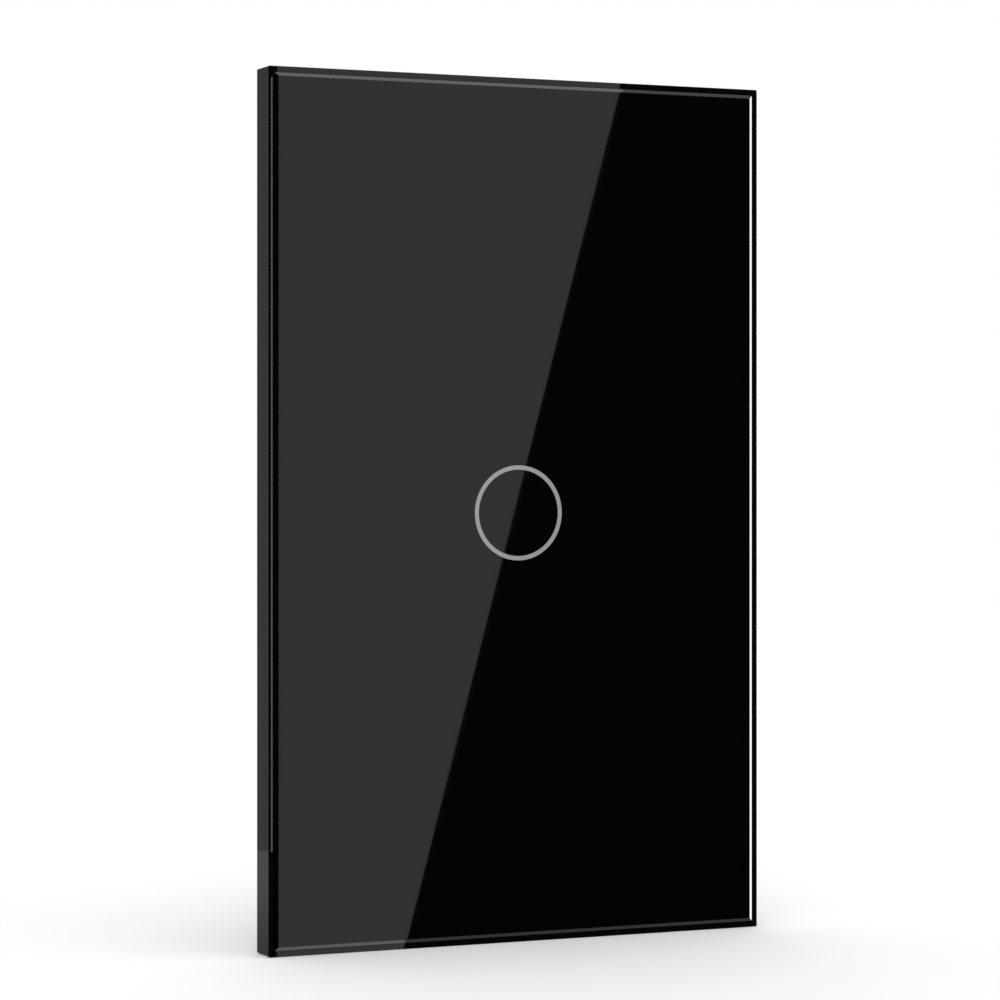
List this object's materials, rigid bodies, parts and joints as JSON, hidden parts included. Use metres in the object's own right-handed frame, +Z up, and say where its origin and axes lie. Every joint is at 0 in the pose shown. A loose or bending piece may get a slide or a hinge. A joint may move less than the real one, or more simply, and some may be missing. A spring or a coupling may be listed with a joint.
{
  "type": "touch light switch",
  "caption": "Upright wall switch with a bevelled black glass front, a pale touch ring, a slim black frame and an in-wall housing with a relay and screw terminals.",
  "frame": {"origin": "on the wall plane, midway between the two fixing slots of the strap", "axes": "+Z up, -Y out of the wall toward the user, +X to the right as seen from the front"},
  "size_m": [0.073, 0.0319, 0.118],
  "materials": {
    "black_glass": "polished, bevelled edges",
    "ring_enamel": "fired enamel, flush with the glass",
    "black_coat": "screen-printed ink",
    "foam_tape": "double-sided tape",
    "black_plastic": "satin moulded plastic",
    "diffuser_plastic": "frosted",
    "zinc_steel": "zinc-plated sheet",
    "housing_plastic": "fine moulded texture",
    "white_plastic": "fine moulded texture",
    "circuit_board": "solder mask",
    "plated_brass": "plated wire",
    "led_resin": "clear resin over phosphor",
    "black_resin": "moulded resin",
    "ferrite": "sintered ferrite",
    "winding_tape": "polyester tape over copper wire",
    "capacitor_sleeve": "shrunk sleeve on aluminium",
    "capacitor_box": "moulded box",
    "blue_epoxy": "dipped epoxy",
    "brown_resin": "moulded resin",
    "relay_blue": "moulded plastic",
    "coil_copper": "enamelled copper wire",
    "terminal_plastic": "glass-filled nylon"
  },
  "bodies": {
    "wall_unit": {"mounting_strap": "zinc_steel", "rear_housing": "housing_plastic", "front_cover": "white_plastic", "strap_screws": "zinc_steel", "touch_board": "circuit_board", "touch_spring": "plated_brass", "led_shroud": "white_plastic", "indicator_leds": "led_resin", "touch_chip": "black_resin", "board_screws": "zinc_steel", "board_socket": "black_resin", "board_header": "black_resin", "header_pins": "plated_brass", "power_board": "circuit_board", "power_screws": "zinc_steel", "transformer_core": "ferrite", "transformer_winding": "winding_tape", "bulk_capacitor": "capacitor_sleeve", "film_capacitor": "capacitor_box", "surge_varistor": "blue_epoxy", "fuse": "brown_resin", "bridge_rectifier": "black_resin", "relay_base": "black_resin", "relay_case": "relay_blue", "relay_coil": "coil_copper", "relay_yoke": "zinc_steel", "relay_contacts": "plated_brass", "terminal_block": "terminal_plastic", "terminal_contacts": "plated_brass"},
    "front_panel": {"glass_panel": "black_glass", "touch_ring": "ring_enamel", "glass_backing": "black_coat", "panel_tape": "foam_tape", "panel_frame": "black_plastic", "light_diffuser": "diffuser_plastic"},
    "armature": {"relay_armature": "zinc_steel"},
    "screw_1": {"terminal_screw_1": "zinc_steel"},
    "clamp_1": {"terminal_clamp_1": "zinc_steel"},
    "screw_2": {"terminal_screw_2": "zinc_steel"},
    "clamp_2": {"terminal_clamp_2": "zinc_steel"},
    "screw_3": {"terminal_screw_3": "zinc_steel"},
    "clamp_3": {"terminal_clamp_3": "zinc_steel"}
  },
  "joints": [
    {"name": "panel_pull", "type": "slide", "parent": "wall_unit", "child": "front_panel", "axis": [0, -1, 0], "range_m": [0, 0.028]},
    {"name": "armature_swing", "type": "hinge", "parent": "wall_unit", "child": "armature", "pos_m": [-0.0126, 0.02085, 0.0262], "axis": [-1, 0, 0], "range_deg": [0, 2.9], "stiffness_Nm_per_rad": 0.01},
    {"name": "screw_1_turn", "type": "hinge", "parent": "wall_unit", "child": "screw_1", "pos_m": [-0.009, 0.0255, -0.0253], "axis": [0, -1, 0], "range_deg": [0, 1728]},
    {"name": "clamp_1_slide", "type": "slide", "parent": "wall_unit", "child": "clamp_1", "axis": [0, 1, 0], "range_m": [0, 0.0024]},
    {"name": "screw_2_turn", "type": "hinge", "parent": "wall_unit", "child": "screw_2", "pos_m": [0, 0.0255, -0.0253], "axis": [0, -1, 0], "range_deg": [0, 1728]},
    {"name": "clamp_2_slide", "type": "slide", "parent": "wall_unit", "child": "clamp_2", "axis": [0, 1, 0], "range_m": [0, 0.0024]},
    {"name": "screw_3_turn", "type": "hinge", "parent": "wall_unit", "child": "screw_3", "pos_m": [0.009, 0.0255, -0.0253], "axis": [0, -1, 0], "range_deg": [0, 1728]},
    {"name": "clamp_3_slide", "type": "slide", "parent": "wall_unit", "child": "clamp_3", "axis": [0, 1, 0], "range_m": [0, 0.0024]}
  ],
  "couplings": [
    {"joint": "screw_1_turn", "follows": "clamp_1_slide", "rad_per_m": 12566},
    {"joint": "screw_2_turn", "follows": "clamp_2_slide", "rad_per_m": 12566},
    {"joint": "screw_3_turn", "follows": "clamp_3_slide", "rad_per_m": 12566}
  ]
}
